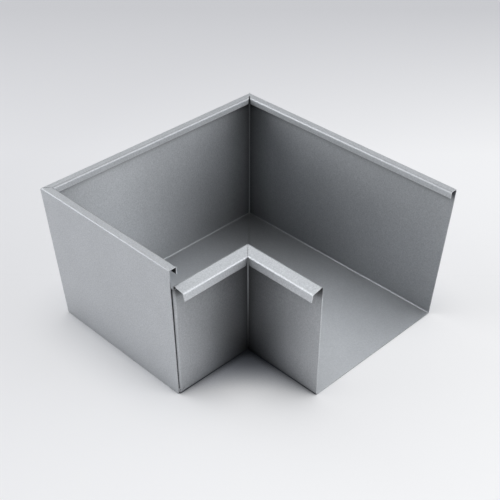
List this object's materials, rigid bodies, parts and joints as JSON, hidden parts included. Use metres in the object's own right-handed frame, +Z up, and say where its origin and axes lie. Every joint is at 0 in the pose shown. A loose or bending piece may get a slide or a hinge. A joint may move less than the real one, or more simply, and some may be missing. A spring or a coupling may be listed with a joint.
{
  "type": "box gutter angle",
  "caption": "Right-angle corner of a box gutter in folded zinc-coated sheet: mitred channel with tall leaning rear walls, lower lipped front walls and a stop end that closes a leg.",
  "frame": {"origin": "on the underside of the floor, where the centre lines of the two legs cross", "axes": "+Z up, +X along the open leg to its open end, -Y along the closed leg to its stop end; the rear walls meet at -X, +Y and the notch between the front walls opens to +X, -Y"},
  "size_m": [0.3295, 0.3295, 0.165],
  "materials": {
    "sheet": "matt zinc-coated steel sheet with a fine rolled grain",
    "solder": "dull soft solder"
  },
  "bodies": {
    "root": {"open_leg": "sheet", "closed_leg": "sheet", "stop_end": "sheet", "mitre_solder": "solder", "stop_end_solder": "solder"}
  },
  "joints": []
}
